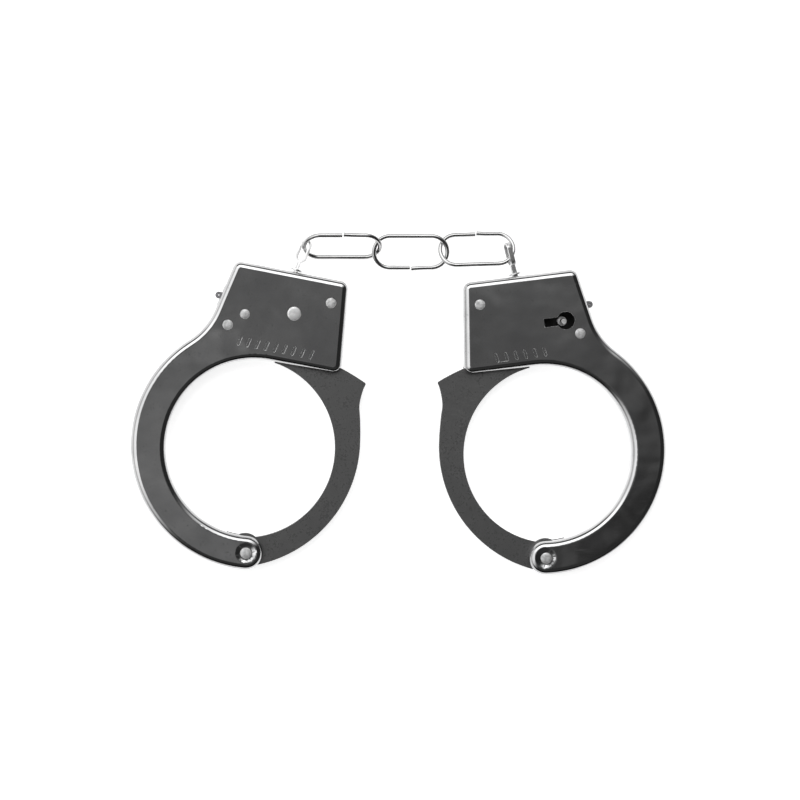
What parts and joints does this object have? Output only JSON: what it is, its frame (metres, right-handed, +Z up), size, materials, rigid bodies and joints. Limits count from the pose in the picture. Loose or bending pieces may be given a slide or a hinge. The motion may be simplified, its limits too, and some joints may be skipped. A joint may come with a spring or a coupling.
{
  "type": "handcuffs",
  "caption": "Light pressed-sheet handcuffs: ratchet jaws on riveted shells with keyholes, swivel eyes and a short wire chain.",
  "frame": {"origin": "middle of the pair's box at the surface it lies on", "axes": "+X from the left cuff to the right cuff, +Y from the cuffs towards the chain, +Z up, through the thickness"},
  "size_m": [0.1714, 0.11, 0.0092],
  "materials": {
    "nickel_shell": "polished nickel plate",
    "jaw_plate": "satin, speckled",
    "rivet": "peened, slightly dull",
    "chain_wire": "bright drawn wire",
    "inner_steel": "plain zinc plate"
  },
  "bodies": {
    "left_cuff": {"left_plain_side_shell": "nickel_shell", "left_keyhole_side_shell": "nickel_shell", "left_jaw_pivot_rivet": "rivet", "left_pivot_spacer_plain_side": "inner_steel", "left_pivot_spacer_keyhole_side": "inner_steel", "left_pawl_post": "rivet", "left_pawl_spring": "inner_steel", "left_key_post": "rivet", "left_top_rivet": "rivet", "left_side_rivet": "rivet"},
    "left_jaw": {"left_jaw": "jaw_plate"},
    "left_pawl": {"left_pawl": "inner_steel", "left_release_lever": "inner_steel"},
    "left_swivel": {"left_swivel_eye": "chain_wire", "left_swivel_collar": "inner_steel", "left_swivel_washer": "inner_steel"},
    "right_cuff": {"right_plain_side_shell": "nickel_shell", "right_keyhole_side_shell": "nickel_shell", "right_jaw_pivot_rivet": "rivet", "right_pivot_spacer_plain_side": "inner_steel", "right_pivot_spacer_keyhole_side": "inner_steel", "right_pawl_post": "rivet", "right_pawl_spring": "inner_steel", "right_key_post": "rivet", "right_top_rivet": "rivet", "right_side_rivet": "rivet"},
    "right_jaw": {"right_jaw": "jaw_plate"},
    "right_pawl": {"right_pawl": "inner_steel", "right_release_lever": "inner_steel"},
    "right_swivel": {"right_swivel_eye": "chain_wire", "right_swivel_collar": "inner_steel", "right_swivel_washer": "inner_steel"},
    "chain_link_left": {"chain_link_left": "chain_wire"},
    "chain_link_middle": {"chain_link_middle": "chain_wire"},
    "chain_link_right": {"chain_link_right": "chain_wire"}
  },
  "joints": [
    {"name": "left_jaw_hinge", "type": "hinge", "parent": "left_cuff", "child": "left_jaw", "pos_m": [-0.04934, -0.04736, 0.0044], "axis": [0, 0, -1], "range_deg": [-9.6, 110]},
    {"name": "left_pawl_hinge", "type": "hinge", "parent": "left_cuff", "child": "left_pawl", "pos_m": [-0.03388, 0.02886, 0.0044], "axis": [0, 0, -1], "range_deg": [-3.4, 2.5], "stiffness_Nm_per_rad": 0.004, "springref_deg": -28.65, "deforming": ["left_pawl_spring"]},
    {"name": "right_jaw_hinge", "type": "hinge", "parent": "right_cuff", "child": "right_jaw", "pos_m": [0.04689, -0.04968, 0.0044], "axis": [0, 0, -1], "range_deg": [-110, 9.6]},
    {"name": "right_pawl_hinge", "type": "hinge", "parent": "right_cuff", "child": "right_pawl", "pos_m": [0.03692, 0.02745, 0.0044], "axis": [0, 0, 1], "range_deg": [-3.4, 2.5], "stiffness_Nm_per_rad": 0.004, "springref_deg": -28.65, "deforming": ["right_pawl_spring"]},
    {"name": "left_swivel_turn", "type": "hinge", "parent": "left_cuff", "child": "left_swivel", "pos_m": [-0.03327, 0.04199, 0.0044], "axis": [0.3665, 0.9304, 0], "continuous": true},
    {"name": "left_eye_swing", "type": "hinge", "parent": "left_swivel", "child": "chain_link_left", "pos_m": [-0.03033, 0.04998, 0.0042], "axis": [-0.07, 0.6752, 0.7343], "range_deg": [-15, 40]},
    {"name": "left_to_middle_link_swing", "type": "hinge", "parent": "chain_link_left", "child": "chain_link_middle", "pos_m": [-0.00809, 0.04939, 0.00357], "axis": [0.1821, 0.9824, -0.042], "range_deg": [-55, 55]},
    {"name": "middle_to_right_link_swing", "type": "hinge", "parent": "chain_link_middle", "child": "chain_link_right", "pos_m": [0.01258, 0.04769, 0.00462], "axis": [-0.086, 0.3381, -0.9372], "range_deg": [-55, 12]},
    {"name": "right_eye_swing", "type": "hinge", "parent": "chain_link_right", "child": "right_swivel", "pos_m": [0.03525, 0.04608, 0.00474], "axis": [-0.7095, -0.6623, 0.2408], "range_deg": [-25, 25]},
    {"name": "right_swivel_turn", "type": "hinge", "parent": "right_swivel", "child": "right_cuff", "pos_m": [0.03724, 0.04059, 0.0044], "axis": [-0.2571, 0.9664, 0], "continuous": true}
  ]
}
